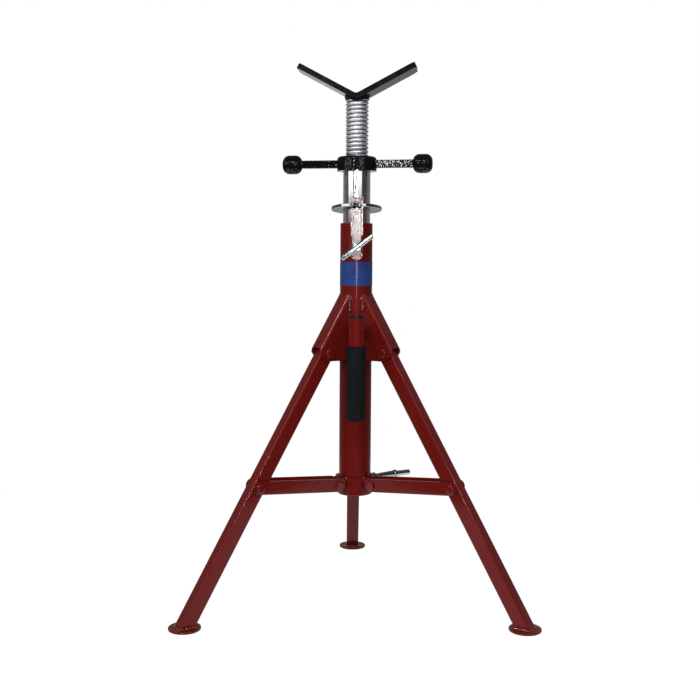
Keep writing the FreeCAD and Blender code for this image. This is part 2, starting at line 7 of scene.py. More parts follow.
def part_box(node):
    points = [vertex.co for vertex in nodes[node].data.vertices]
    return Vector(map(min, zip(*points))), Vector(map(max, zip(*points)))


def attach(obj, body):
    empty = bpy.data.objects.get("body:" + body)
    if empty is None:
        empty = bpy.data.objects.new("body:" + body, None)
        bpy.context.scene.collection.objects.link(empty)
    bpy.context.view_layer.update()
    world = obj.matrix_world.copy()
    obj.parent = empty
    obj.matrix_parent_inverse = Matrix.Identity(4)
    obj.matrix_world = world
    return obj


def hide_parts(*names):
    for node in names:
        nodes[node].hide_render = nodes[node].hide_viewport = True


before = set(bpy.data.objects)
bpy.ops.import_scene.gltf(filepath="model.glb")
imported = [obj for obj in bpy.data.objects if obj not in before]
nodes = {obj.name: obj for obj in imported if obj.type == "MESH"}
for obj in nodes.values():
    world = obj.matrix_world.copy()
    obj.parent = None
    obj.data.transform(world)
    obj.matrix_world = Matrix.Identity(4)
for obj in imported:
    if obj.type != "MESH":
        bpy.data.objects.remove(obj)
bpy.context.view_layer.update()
legAzimuths = {"rear": 90.0, "left": 210.0, "right": 330.0}
mm = 0.001


# one node of a shader tree, with its settings and fixed socket values
def addNode(tree, kind, sockets=None, **settings):
    node = tree.nodes.new(kind)
    for name, value in settings.items():
        setattr(node, name, value)
    for name, value in (sockets or {}).items():
        node.inputs[name].default_value = value
    return node


def rgba(colour):
    return (colour[0], colour[1], colour[2], 1.0)


# a shader with its fixed socket values taken from a finish
def startMaterial(name, look, sockets):
    material = bpy.data.materials.new(name)
    material.use_nodes = True
    tree = material.node_tree
    tree.nodes.clear()
    values = {socket: look[key] for socket, key in sockets.items()}
    shader = addNode(tree, "ShaderNodeBsdfPrincipled", values)
    output = addNode(tree, "ShaderNodeOutputMaterial")
    tree.links.new(shader.outputs["BSDF"], output.inputs["Surface"])
    coords = addNode(tree, "ShaderNodeTexCoord")
    return material, tree, shader, coords.outputs["Object"]


# a noise with so many lumps to the metre, drawn out where its stretch is below 1
def addNoise(tree, place, scale, detail=3.0, roughness=0.55, stretch=None):
    if stretch:
        mapping = addNode(tree, "ShaderNodeMapping", {"Scale": stretch})
        tree.links.new(place, mapping.inputs["Vector"])
        place = mapping.outputs["Vector"]
    grain = addNode(tree, "ShaderNodeTexNoise",
                    {"Scale": scale, "Detail": detail, "Roughness": roughness})
    tree.links.new(place, grain.inputs["Vector"])
    return grain.outputs["Fac"]


def addBump(tree, shader, height, depth):
    bump = addNode(tree, "ShaderNodeBump", {"Distance": depth, "Strength": 1.0})
    tree.links.new(height, bump.inputs["Height"])
    tree.links.new(bump.outputs["Normal"], shader.inputs["Normal"])
    tree.links.new(bump.outputs["Normal"], shader.inputs["Coat Normal"])


# the coat's weight comes and goes in fine spots
def addSpots(tree, place, shader, look):
    spots = addNoise(tree, place, look["spotScale"])
    weight = spread(tree, spots, *look["coatSpots"], *look["spotEdge"])
    tree.links.new(weight, shader.inputs["Coat Weight"])


# a value moved from one range to another and held inside it
def spread(tree, source, low, high, fromLow=0.3, fromHigh=0.7):
    ranged = addNode(tree, "ShaderNodeMapRange", {
        "From Min": fromLow, "From Max": fromHigh, "To Min": low, "To Max": high})
    tree.links.new(source, ranged.inputs["Value"])
    return ranged.outputs["Result"]


def combine(tree, operation, first, second, clamp=False):
    node = addNode(tree, "ShaderNodeMath", operation=operation, use_clamp=clamp)
    for socket, value in zip(node.inputs, (first, second)):
        if isinstance(value, float):
            socket.default_value = value
        else:
            tree.links.new(value, socket)
    return node.outputs["Value"]


def splitAxes(tree, place):
    split = addNode(tree, "ShaderNodeSeparateXYZ")
    tree.links.new(place, split.inputs[0])
    return split.outputs


# low where the mask is 0 and high where it is 1; low may be another mix
def mixColours(tree, mask, low, high):
    mix = addNode(tree, "ShaderNodeMix", data_type="RGBA")
    tree.links.new(mask, mix.inputs[0])
    lowSocket, highSocket = mix.inputs[6], mix.inputs[7]  # the two sockets that hold colours
    if isinstance(low, tuple):
        lowSocket.default_value = rgba(low)
    else:
        tree.links.new(low, lowSocket)
    highSocket.default_value = rgba(high)
    return mix.outputs[2]


# high where the surface turns within a small radius, as at edges and folds
def edgeMask(tree, width, turned=0.80, flat=0.985):
    bevel = addNode(tree, "ShaderNodeBevel", {"Radius": width}, samples=6)
    geometry = addNode(tree, "ShaderNodeNewGeometry")
    dot = addNode(tree, "ShaderNodeVectorMath", operation="DOT_PRODUCT")
    tree.links.new(bevel.outputs["Normal"], dot.inputs[0])
    tree.links.new(geometry.outputs["Normal"], dot.inputs[1])
    return spread(tree, dot.outputs["Value"], 1.0, 0.0, turned, flat)


# high in corners, seams and slots, where shade falls; used to paint shade into the colour
def cornerShadeMask(tree, reach, closed=0.20, clear=0.70):
    shade = addNode(tree, "ShaderNodeAmbientOcclusion", {"Distance": reach}, samples=8)
    return spread(tree, shade.outputs["AO"], 1.0, 0.0, closed, clear)


redEnamel = {
    "colour": (0.116, 0.0050, 0.0040),
    "thinColour": (0.20, 0.013, 0.010),  # along edges and in clouds, where the paint is thin
    "cloudScale": 9.0,
    "cloudShare": 0.35,
    "edgeWidth": 1.2 * mm,
    "speckScale": 160.0,
    "speckEdge": (0.35, 0.65),
    "cornerShadeColour": (0.010, 0.0025, 0.0024),  # painted shade in corners and slots
    "cornerShadeReach": 14.0 * mm,
    "flake": 0.30,
    "roughness": (0.36, 0.48),
    "smearScale": 55.0,
    "specular": 0.06,
    "coat": 0.34,
    "coatRoughness": 0.04,
    "coatIor": 1.5,
    "coatSpots": None,  # or the coat's weight between its spots and on them
    "peelScale": 210.0,
    "peelDepth": 0.10 * mm,
}

# over bolts the same paint lies thicker, and over weld it has run smooth
thickEnamel = dict(redEnamel, coat=0.60, coatRoughness=0.03, peelDepth=0.05 * mm)
weldEnamel = dict(redEnamel, coat=1.0, coatIor=2.1, coatRoughness=0.03, peelDepth=0.04 * mm)
# the channel beside the friction ring is glossier, in fine spots
channelEnamel = dict(redEnamel, coatSpots=(0.22, 0.80), spotScale=380.0, spotEdge=(0.40, 0.48),
                     peelScale=430.0, peelDepth=0.10 * mm)


def makeRedEnamel(name, look=redEnamel):
    material, tree, shader, place = startMaterial(name, look, {
        "Metallic": "flake", "Specular IOR Level": "specular", "Coat Weight": "coat",
        "Coat Roughness": "coatRoughness", "Coat IOR": "coatIor"})
    cloud = addNoise(tree, place, look["cloudScale"], detail=4.0)
    cloud = combine(tree, "MULTIPLY", cloud, look["cloudShare"])
    speck = addNoise(tree, place, look["speckScale"], detail=5.0)
    speck = spread(tree, speck, 0.0, 1.0, *look["speckEdge"])
    worn = combine(tree, "MULTIPLY", edgeMask(tree, look["edgeWidth"]), speck)
    thin = combine(tree, "ADD", cloud, worn, clamp=True)
    paint = mixColours(tree, thin, look["colour"], look["thinColour"])
    # darker in corners, seams and slots: painted shade
    corners = cornerShadeMask(tree, look["cornerShadeReach"])
    paint = mixColours(tree, corners, paint, look["cornerShadeColour"])
    tree.links.new(paint, shader.inputs["Base Color"])
    smear = addNoise(tree, place, look["smearScale"])
    tree.links.new(spread(tree, smear, *look["roughness"]), shader.inputs["Roughness"])
    peel = addNoise(tree, place, look["peelScale"], detail=2.0)
    addBump(tree, shader, peel, look["peelDepth"])
    if look["coatSpots"]:
        addSpots(tree, place, shader, look)
    return material


tubeZinc = {
    "bright": (0.88, 0.90, 0.93),
    "dull": (0.70, 0.72, 0.75),
    "cloudScale": 38.0,
    "metal": 1.0,
    "roughness": (0.09, 0.18),
    "smearScale": 90.0,
    "drawnScale": 900.0,
    "drawnStretch": (1.0, 1.0, 0.04),  # the tube was drawn along its length
    "drawnDepth": 0.015 * mm,
}

# the small parts are darker and smoother, with no direction in their grain
partZinc = dict(tubeZinc, bright=(0.52, 0.55, 0.57), dull=(0.38, 0.40, 0.43), roughness=(0.06, 0.14),
                drawnStretch=(1.0, 1.0, 1.0), drawnDepth=0.012 * mm)


def makeZincPlate(name, look, seam=None):
    material, tree, shader, place = startMaterial(name, look, {"Metallic": "metal"})
    cloud = addNoise(tree, place, look["cloudScale"], detail=5.0, roughness=0.6)
    plating = mixColours(tree, spread(tree, cloud, 0.0, 1.0), look["bright"], look["dull"])
    if seam:
        plating = mixColours(tree, seamMask(tree, place, seam), plating, seam["colour"])
    tree.links.new(plating, shader.inputs["Base Color"])
    smear = addNoise(tree, place, look["smearScale"], detail=4.0)
    tree.links.new(spread(tree, smear, *look["roughness"]), shader.inputs["Roughness"])
    drawn = addNoise(tree, place, look["drawnScale"], detail=2.0, roughness=0.5,
                     stretch=look["drawnStretch"])
    addBump(tree, shader, drawn, look["drawnDepth"])
    return material


tubeSeam = {
    "sideways": -2.6 * mm,
    "halfWidth": (0.10 * mm, 0.9 * mm),  # solid, then faded out
    "front": (-18.0 * mm, -14.0 * mm),
    "breakScale": 160.0,
    "breakStretch": (0.02, 0.02, 1.0),  # so that it breaks across, not along
    "breakEdge": (0.40, 0.56),
    "colour": (0.26, 0.31, 0.42),
}


# the drawn tube's weld seam, a thin broken grey line down its front
def seamMask(tree, place, look):
    axes = splitAxes(tree, place)
    away = combine(tree, "SUBTRACT", axes["X"], look["sideways"])
    away = combine(tree, "ABSOLUTE", away, 0.0)
    line = spread(tree, away, 1.0, 0.0, *look["halfWidth"])
    front = spread(tree, axes["Y"], 1.0, 0.0, *look["front"])
    broken = addNoise(tree, place, look["breakScale"], roughness=0.5, stretch=look["breakStretch"])
    broken = spread(tree, broken, 0.0, 1.0, *look["breakEdge"])
    return combine(tree, "MULTIPLY", combine(tree, "MULTIPLY", line, front), broken)


threadZinc = {
    "crestColour": (0.86, 0.87, 0.91),
    "rootShadeColour": (0.07, 0.07, 0.08),  # painted shade in the roots, patchy with noise
    "rootRadius": 17.4 * mm,
    "crestRadius": 18.9 * mm,
    "rootShadeShare": (0.75, 1.0),
    "metal": 1.0,
    "roughness": (0.36, 0.50),
    "wearScale": 240.0,
    "wearDepth": 0.03 * mm,
}


def makeThreadZinc(name, look=threadZinc):
    material, tree, shader, place = startMaterial(name, look, {"Metallic": "metal"})
    flat = addNode(tree, "ShaderNodeVectorMath", operation="MULTIPLY")
    tree.links.new(place, flat.inputs[0])
    flat.inputs[1].default_value = (1.0, 1.0, 0.0)
    radius = addNode(tree, "ShaderNodeVectorMath", operation="LENGTH")
    tree.links.new(flat.outputs[0], radius.inputs[0])
    rub = addNoise(tree, place, look["wearScale"], detail=4.0)
    # the colour darkens towards the roots: painted shade, patchy with noise
    deep = spread(tree, radius.outputs["Value"], 1.0, 0.0, look["rootRadius"], look["crestRadius"])
    rootShade = combine(tree, "MULTIPLY", deep, spread(tree, rub, *look["rootShadeShare"]))
    metal = mixColours(tree, rootShade, look["crestColour"], look["rootShadeColour"])
    tree.links.new(metal, shader.inputs["Base Color"])
    tree.links.new(spread(tree, rub, *look["roughness"]), shader.inputs["Roughness"])
    addBump(tree, shader, rub, look["wearDepth"])
    return material


# the V head is painted plate; the handle nut is a casting with spots of gloss
headEnamel = {
    "colour": (0.0025, 0.0025, 0.0030),
    "rubbedColour": (0.0050, 0.0050, 0.0055),
    "cloudScale": 40.0,
    "edgeColour": (0.022, 0.022, 0.024),
    "edgeWidth": 1.0 * mm,
    "speckScale": 220.0,
    "speckEdge": (0.45, 0.65),
    "speckShare": 0.8,
    "roughness": (0.14, 0.26),
    "smearScale": 80.0,
    "specular": 0.20,
    "coat": 0.15,
    "coatRoughness": 0.08,
    "coatSpots": None,
    "reliefScale": 300.0,
    "reliefDepth": 0.05 * mm,
}

castEnamel = dict(headEnamel, colour=(0.0028, 0.0030, 0.0034), rubbedColour=(0.0045, 0.0047, 0.0052),
                  edgeColour=(0.012, 0.012, 0.013), roughness=(0.08, 0.14), specular=0.03, coat=0.80,
                  coatRoughness=0.03, coatSpots=(0.02, 0.90), spotScale=300.0, spotEdge=(0.51, 0.555),
                  reliefDepth=0.17 * mm)


def makeBlackEnamel(name, look):
    material, tree, shader, place = startMaterial(name, look, {
        "Specular IOR Level": "specular", "Coat Weight": "coat", "Coat Roughness": "coatRoughness"})
    cloud = addNoise(tree, place, look["cloudScale"], detail=4.0)
    paint = mixColours(tree, cloud, look["colour"], look["rubbedColour"])
    speck = addNoise(tree, place, look["speckScale"], detail=4.0)
    speck = spread(tree, speck, 0.0, look["speckShare"], *look["speckEdge"])
    worn = combine(tree, "MULTIPLY", edgeMask(tree, look["edgeWidth"]), speck)
    tree.links.new(mixColours(tree, worn, paint, look["edgeColour"]), shader.inputs["Base Color"])
    smear = addNoise(tree, place, look["smearScale"])
    tree.links.new(spread(tree, smear, *look["roughness"]), shader.inputs["Roughness"])
    relief = addNoise(tree, place, look["reliefScale"], detail=4.0)
    addBump(tree, shader, relief, look["reliefDepth"])
    if look["coatSpots"]:
        addSpots(tree, place, shader, look)
    return material


foamGrip = {
    "colour": (0.0052, 0.0058, 0.0064),
    "poreColour": (0.0018, 0.0021, 0.0024),
    "specular": 0.16,
    "roughness": 0.85,
    "poreScale": 1400.0,
    "poreEdge": (0.35, 0.6),
    "poreDepth": 0.1 * mm,
}


def makeFoamGrip(name, look=foamGrip):
    material, tree, shader, place = startMaterial(name, look, {
        "Specular IOR Level": "specular", "Roughness": "roughness"})
    pores = addNoise(tree, place, look["poreScale"])
    closed = spread(tree, pores, 0.0, 1.0, *look["poreEdge"])
    skin = mixColours(tree, closed, look["poreColour"], look["colour"])
    tree.links.new(skin, shader.inputs["Base Color"])
    addBump(tree, shader, pores, look["poreDepth"])
    return material


capPlastic = {
    "colour": (0.0055, 0.0065, 0.0080),
    "scuffColour": (0.010, 0.011, 0.013),
    "specular": 0.30,
    "roughness": 0.24,
    "grainScale": 900.0,
    "grainDepth": 0.03 * mm,
}


def makeCapPlastic(name, look=capPlastic):
    material, tree, shader, place = startMaterial(name, look, {
        "Specular IOR Level": "specular", "Roughness": "roughness"})
    grain = addNoise(tree, place, look["grainScale"])
    plastic = mixColours(tree, grain, look["colour"], look["scuffColour"])
    tree.links.new(plastic, shader.inputs["Base Color"])
    addBump(tree, shader, grain, look["grainDepth"])
    return material


bandFilm = {
    "colour": (0.014, 0.034, 0.150),
    "fadedColour": (0.024, 0.056, 0.21),
    "cloudScale": 24.0,
    "cloudShare": 0.5,
    "edgeColour": (0.030, 0.060, 0.20),
    "edgeWidth": 0.8 * mm,
    "edgeShare": 0.5,
    "specular": 0.14,
    "roughness": (0.24, 0.36),
    "smearScale": 70.0,
    "coat": 0.35,
    "coatRoughness": 0.14,
    "rippleScale": 90.0,
    "rippleDepth": 0.08 * mm,
}


# plain blue film, a little paler where its two edges lift
def makeBandFilm(name, look=bandFilm):
    material, tree, shader, place = startMaterial(name, look, {
        "Specular IOR Level": "specular", "Coat Weight": "coat", "Coat Roughness": "coatRoughness"})
    low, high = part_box("name_band")
    half = (high.z - low.z) / 2
    away = combine(tree, "SUBTRACT", splitAxes(tree, place)["Z"], (low.z + high.z) / 2)
    away = combine(tree, "ABSOLUTE", away, 0.0)
    rim = spread(tree, away, 0.0, look["edgeShare"], half - look["edgeWidth"], half)
    cloud = addNoise(tree, place, look["cloudScale"], detail=4.0)
    cloud = spread(tree, cloud, 0.0, look["cloudShare"])
    film = mixColours(tree, cloud, look["colour"], look["fadedColour"])
    tree.links.new(mixColours(tree, rim, film, look["edgeColour"]), shader.inputs["Base Color"])
    smear = addNoise(tree, place, look["smearScale"])
    tree.links.new(spread(tree, smear, *look["roughness"]), shader.inputs["Roughness"])
    addBump(tree, shader, addNoise(tree, place, look["rippleScale"]), look["rippleDepth"])
    return material


# gives named solids of the frame their finish
def dressNodes(names, material):
    for name in names:
        node = nodes[name]
        node.data.materials.clear()
        node.data.materials.append(material)


# quads between rings of points that follow each other
def ringQuads(rings, around, loop=False):
    faces = []
    for i in range(rings if loop else rings - 1):
        low = i * around
        high = (i + 1) % rings * around
        for k in range(around):
            k2 = (k + 1) % around
            faces.append((low + k, low + k2, high + k2, high + k))
    return faces


# a smooth mesh of its own that rides on one body of the frame
def makePiece(name, points, faces, material, body):
    mesh = bpy.data.meshes.new(name)
    mesh.from_pydata([tuple(point) for point in points], [], faces)
    mesh.validate()
    mesh.update()
    mesh.polygons.foreach_set("use_smooth", [True] * len(mesh.polygons))
    piece = bpy.data.objects.new(name, mesh)
    bpy.context.scene.collection.objects.link(piece)
    mesh.materials.append(material)
    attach(piece, body)
    return piece


screwThread = {
    "majorRadius": 20.0 * mm,
    "depth": 2.8 * mm,
    "pitch": 7.0 * mm,
    # one pitch from crest to crest, round on top and narrow at the root
    "shape": (1.0, 1.0, 0.97, 0.86, 0.55, 0.12, 0.0, 0.12, 0.55, 0.86, 0.97),
    "stepsPerTurn": 72,
    "topInset": 4.0 * mm,  # how far the thread stops below the V plate's edge
}


# the thread as rows that climb one pitch each turn, trimmed flat at both ends
def makeScrewThread(material, look=screwThread):
    low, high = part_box("jack_screw")
    bottom = low.z
    top = high.z - look["topInset"]
    pitch = look["pitch"]
    steps = look["stepsPerTurn"]
    turns = math.ceil((top - bottom) / pitch) + 2
    profile = [(i / len(look["shape"]), height) for i, height in enumerate(look["shape"])]
    rows = [(turn + share, height) for turn in range(turns) for share, height in profile]
    points = []
    for row, height in rows:
        radius = look["majorRadius"] - look["depth"] * (1.0 - height)
        for k in range(steps + 1):
            turn = 2 * math.pi * k / steps
            z = bottom + pitch * (row - 1.0 + k / steps)
            z = min(max(z, bottom), top)
            points.append(Vector((radius * math.cos(turn), radius * math.sin(turn), z)))
    faces = []
    wide = steps + 1
    for i in range(len(rows) - 1):
        for k in range(steps):
            corner = i * wide + k
            corners = (corner, corner + 1, corner + 1 + wide, corner + wide)
            heights = {round(points[c].z, 7) for c in corners}
            if len(heights) > 1:
                faces.append(corners)
    core = look["majorRadius"] - look["depth"]
    for z, flip in ((bottom, True), (top, False)):
        ring = len(points)
        for k in range(steps):
            turn = 2 * math.pi * k / steps
            points.append(Vector((core * math.cos(turn), core * math.sin(turn), z)))
        disc = tuple(range(ring, ring + steps))
        faces.append(tuple(reversed(disc)) if flip else disc)
    screw = makePiece("screwThread", points, faces, material, "screw")
    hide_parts("jack_screw")


headWeld = {
    "turn": -5.5,  # degrees, as the V plate stands
    "footHeight": 888.9 * mm,
    "footRise": 11.0,  # degrees, how the foot climbs to both sides
    "footRagged": 1.5 * mm,
    "screwRadius": 20.0 * mm,
    "bulge": (1.0 * mm, 2.6 * mm),  # how far it stands out at the foot and at the top
    "lump": 1.1 * mm,
    "lumpScale": 170.0,
    "lumpFineness": 1.6,  # how much finer the lumps are than the ragged foot
    "topLump": 0.3,
    "plateUnder": 889.45 * mm,  # where the V's two undersides would meet
    "plateSlope": 27.9,
    "plateSpread": 1.12,
    "plateSunk": 0.8 * mm,
    "edgeSunk": 0.5 * mm,
    "bendRadius": 18.5 * mm,
    "rows": 7,
    "steps": 120,
}


# height of the V plate's underside, at a distance from its middle
def underPlate(across, look=headWeld):
    slope = math.radians(look["plateSlope"])
    reach = look["bendRadius"] * math.sin(slope)
    if abs(across) < reach:
        centre = look["plateUnder"] + look["bendRadius"] / math.cos(slope)
        return centre - math.sqrt(look["bendRadius"] ** 2 - across ** 2)
    return look["plateUnder"] + abs(across) * math.tan(slope)


# the ragged fillet of weld between the screw and the V plate
def makeHeadWeld(material, look=headWeld):
    turned = math.radians(look["turn"])
    steps = look["steps"]
    foot, top = look["bulge"]
    points = []
    for row in range(look["rows"] + 2):
        share = min(max(row - 1, 0), look["rows"] - 1) / (look["rows"] - 1)
        for k in range(steps):
            turn = 2 * math.pi * k / steps
            away = Vector((math.cos(turn), math.sin(turn), 0.0))
            across = look["screwRadius"] * math.cos(turn - turned)
            ragged = noise.noise(away * look["screwRadius"] * look["lumpScale"])
            low = look["footHeight"] + abs(across) * math.tan(math.radians(look["footRise"]))
            low += ragged * look["footRagged"]
            high = underPlate(across * look["plateSpread"]) + look["plateSunk"]
            height = low + (high - low) * share
            spot = away * look["screwRadius"] + Vector((0, 0, height))
            lump = noise.noise(spot * look["lumpScale"] * look["lumpFineness"]) * look["lump"]
            out = foot + (top - foot) * share + lump * (1.0 if share < 1.0 else look["topLump"])
            if row in (0, look["rows"] + 1):
                out = -look["edgeSunk"]
            points.append(away * (look["screwRadius"] + out) + Vector((0, 0, height)))
    faces = ringQuads(look["rows"] + 2, steps)
    weld = makePiece("headWeld", points, faces, material, "screw")
    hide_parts("head_collar")


# a tube swept through points, closed on itself or capped at both ends
def sweepTube(path, radii, sides, loop):
    points = []
    count = len(path)
    across = None
    for i, here in enumerate(path):
        ahead = path[(i + 1) % count] if loop or i < count - 1 else here
        behind = path[i - 1] if loop or i > 0 else here
        along = (ahead - behind).normalized()
        if across is None:
            across = along.orthogonal().normalized()
        across = (across - along * across.dot(along)).normalized()
        other = along.cross(across)
        for k in range(sides):
            turn = 2 * math.pi * k / sides
            points.append(here + (across * math.cos(turn) + other * math.sin(turn)) * radii[i])
    faces = ringQuads(count, sides, loop)
    if not loop:
        faces.append(tuple(reversed(range(sides))))
        faces.append(tuple((count - 1) * sides + k for k in range(sides)))
    return points, faces


plungerBoreShade = {
    "radius": 3.2 * mm,
    "sides": 24,
    "sunk": 0.25 * mm,
    "length": 1.4,  # as a share of how deep it is sunk
    "pullRadius": 5.1 * mm,
    "azimuth": 30.0,
    "height": 220.3 * mm,
}


# a black disc sunk in the lock plunger's outer end, painted shade standing in for its bore
def makePlungerBoreShade(material, look=plungerBoreShade):
    low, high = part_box("lock_plunger")
    turn = math.radians(look["azimuth"])
    reach = (high.x - look["pullRadius"] * math.sin(turn)) / math.cos(turn)
    along = Vector((math.cos(turn), math.sin(turn), 0.0))
    start = along * (reach - look["sunk"]) + Vector((0, 0, look["height"]))
    path = [start, start + along * look["sunk"] * look["length"]]
    points, faces = sweepTube(path, [look["radius"]] * 2, look["sides"], False)
    makePiece("plungerBoreShade", points, faces, material, "plunger")


# points at even steps along straight runs between corners
def evenPath(corners, step, loop):
    path = []
    ends = corners[1:] + corners[:1] if loop else corners[1:]
    for start, end in zip(corners, ends):
        count = max(1, round((end - start).length / step))
        for i in range(count):
            path.append(start.lerp(end, i / count))
    if not loop:
        path.append(corners[-1])
    return path


weldBead = {
    "ripplePitch": 2.3 * mm,
    "rippleDepth": 0.20,
    "wander": 0.16,
    "jitter": 0.05,
    "endSize": (0.45, 0.25),  # of the first ring, and what each next one adds
    "sides": 10,
    "ringsPerRipple": 4,
    "blobLump": 0.34,  # how uneven a single blob is, as a share of its size
    "blobGrain": 1.7,
    "blobRings": 9,
    "blobSides": 16,
}


# a bead of weld laid along a seam, with its ripples
def layBead(name, corners, radius, body, material, loop=False, look=weldBead):
    dice = random.Random(name)
    path = evenPath(corners, look["ripplePitch"] / look["ringsPerRipple"], loop)
    radii = []
    moved = []
    drift = 0.0
    for i, point in enumerate(path):
        ripple = (i % look["ringsPerRipple"]) / look["ringsPerRipple"]
        if i % look["ringsPerRipple"] == 0:
            drift = dice.uniform(-1.0, 1.0) * look["wander"]
        swell = 1.0 + drift - look["rippleDepth"] * ripple
        if not loop:
            size, growth = look["endSize"]
            swell *= min(1.0, size + growth * min(i, len(path) - 1 - i))
        radii.append(radius * swell)
        jitter = Vector((dice.uniform(-1, 1), dice.uniform(-1, 1), dice.uniform(-1, 1)))
        moved.append(point + jitter * radius * look["jitter"])
    points, faces = sweepTube(moved, radii, look["sides"], loop)
    makePiece(name, points, faces, material, body)


# one lump of weld, uneven all round
def layBlob(name, centre, radius, body, material, look=weldBead):
    seed = random.Random(name).uniform(0.0, 90.0)  # where in the noise this blob's lumps lie
    rings = look["blobRings"]
    around = look["blobSides"]
    points = []
    for i in range(rings + 1):
        tilt = math.pi * (0.02 + 0.96 * i / rings)  # stops short of both poles
        for k in range(around):
            turn = 2 * math.pi * k / around
            away = Vector((math.sin(tilt) * math.cos(turn), math.sin(tilt) * math.sin(turn),
                           math.cos(tilt)))
            grain = noise.noise(away * look["blobGrain"] + Vector((seed, 0, 0)))
            points.append(centre + away * radius * (1.0 + look["blobLump"] * grain))
    # each quad turned about, because these rings run downwards
    faces = [(a, d, c, b) for a, b, c, d in ringQuads(rings + 1, around)]
    faces.append(tuple(range(around)))
    faces.append(tuple(reversed(range(rings * around, (rings + 1) * around))))
    makePiece(name, points, faces, material, body)


# a point given in millimetres as radius, side and height, turned to a leg's azimuth
def radial(azimuth, radius, side, height):
    turn = math.radians(azimuth)
    x = radius * math.cos(turn) - side * math.sin(turn)
    y = radius * math.sin(turn) + side * math.cos(turn)
    return Vector((x, y, height)) * mm


# where the welds run, in millimetres and degrees, with the radius of each bead
seams = {
    "columnRadius": 28.5,
    "collarRadius": 31.2,
    "bracketHalf": 17.3,
    "bracketLift": 0.6,  # how far the bracket's beads stand off the column
    "bracketOut": 0.5,
    "bracketTacks": [(551, 529), (520, 513), (505, 474), (458, 440)],  # top and bottom of each run
    "bracketBead": 2.0,
    # side and height along the curl over each corner of a bracket's top
    "crownCurl": [(10.5, 545.5), (12.0, 551.0), (16.0, 552.5), (19.5, 549.5), (20.5, 543.0)],
    "crownLift": 0.4,
    "crownBead": 1.6,
    "cornerBlobs": [(527.5, 3.2), (546.0, 2.6)],  # height and size
    "cornerLift": 0.4,
    "cornerOut": 1.6,
    "footRadius": 328.0,
    "footHeight": 4.6,
    "footBead": 1.7,
    "legHalf": 12.6,
    "legSlope": 30.65,
    "lugHalf": 13.8,
    "lugLift": 0.5,
    "lugOut": 0.2,
    "lugRun": (210.0, 223.5),
    "lugBead": 1.3,
    # azimuth, height and size
    "collarBlobs": [(180, 226.6, 3.6), (0, 226.6, 3.6), (120, 226.4, 3.0), (240, 226.8, 2.4),
                    (300, 226.8, 2.4)],
    "collarSunk": 0.2,
    "toeHalf": 10.4,
    "toeLift": 0.5,
    "toeCentre": 624.25,
    "toeTop": 675.0,
    "toeBead": 1.3,
    "dripSpot": (0.3, 0.6, 613.0),  # to the side, off the column and up
    "dripSize": 2.2,
    "stubHeight": 492.0,
    "stubRadius": 11.3,
    "stubLift": 0.6,
    "stubBead": 1.5,
    "barrelAzimuth": 30.0,
    "barrelHeight": 220.3,
    "barrelRadius": 7.3,
    "barrelLift": 0.4,
    "barrelBead": 1.1,
}


# how far from the axis a point on a round tube is, at a distance to the side
def onTube(radius, side):
    return math.sqrt(radius ** 2 - side ** 2)


# side and height of even points around a circle
def circlePoints(radius, middle, count):
    turns = [2 * math.pi * i / count for i in range(count)]
    return [(radius * math.cos(turn), middle + radius * math.sin(turn)) for turn in turns]


def layBracketWelds(legName, azimuth, material, look=seams):
    half = look["bracketHalf"]
    seamRadius = onTube(look["columnRadius"], half) + look["bracketLift"]
    for sideName, side in (("Near", -1), ("Far", 1)):
        away = side * (half + look["bracketOut"])
        for i, (top, bottom) in enumerate(look["bracketTacks"]):
            run = [radial(azimuth, seamRadius, away, height) for height in (bottom, top)]
            bead = look["bracketBead"] * mm
            layBead(f"bracketTack{sideName}{i}_{legName}", run, bead, "column", material)
        away = side * (half + look["cornerOut"])
        for i, (height, size) in enumerate(look["cornerBlobs"]):
            spot = radial(azimuth, seamRadius + look["cornerLift"], away, height)
            layBlob(f"cornerBlob{sideName}{i}_{legName}", spot, size * mm, "column", material)
        curl = []
        for across, height in look["crownCurl"]:
            reach = onTube(look["columnRadius"], across) + look["crownLift"]
            curl.append(radial(azimuth, reach, side * across, height))
        layBead(f"crownCurl{sideName}_{legName}", curl, look["crownBead"] * mm, "column", material)


def layLegWelds(legName, azimuth, material, look=seams):
    half = look["legHalf"]
    reach = half / math.cos(math.radians(look["legSlope"]))
    foot = []
    for x, y in ((1, -1), (1, 1), (-1, 1), (-1, -1)):
        foot.append(radial(azimuth, look["footRadius"] + x * reach, y * half, look["footHeight"]))
    body = f"leg_{legName}"
    layBead(f"footBead_{legName}", foot, look["footBead"] * mm, body, material, loop=True)
    lugRadius = onTube(look["collarRadius"], look["lugHalf"]) + look["lugLift"]
    for sideName, side in (("Near", -1), ("Far", 1)):
        away = side * (look["lugHalf"] + look["lugOut"])
        run = [radial(azimuth, lugRadius, away, height) for height in look["lugRun"]]
        layBead(f"lugSeam{sideName}_{legName}", run, look["lugBead"] * mm, "collar", material)


# a point on the column's front in millimetres, stood off its surface
def columnFront(side, lift, height, look=seams):
    return Vector((side, -onTube(look["columnRadius"], side) - lift, height)) * mm


def layColumnWelds(material, look=seams):
    half = look["toeHalf"]
    toe = []
    for degrees in range(180, 361, 15):
        turn = math.radians(degrees)
        height = look["toeCentre"] + half * math.sin(turn)
        toe.append(columnFront(half * math.cos(turn), look["toeLift"], height))
    top = look["toeTop"] * mm
    toe = [Vector((toe[0].x, toe[0].y, top))] + toe + [Vector((toe[-1].x, toe[-1].y, top))]
    layBead("channelSeam", toe, look["toeBead"] * mm, "column", material)
    side, lift, height = look["dripSpot"]
    drip = Vector((side, -look["columnRadius"] - lift, height)) * mm
    layBlob("toeDrip", drip, look["dripSize"] * mm, "column", material)
    stub = [columnFront(side, look["stubLift"], height)
            for side, height in circlePoints(look["stubRadius"], look["stubHeight"], 24)]
    layBead("stubSeam", stub, look["stubBead"] * mm, "column", material, loop=True)


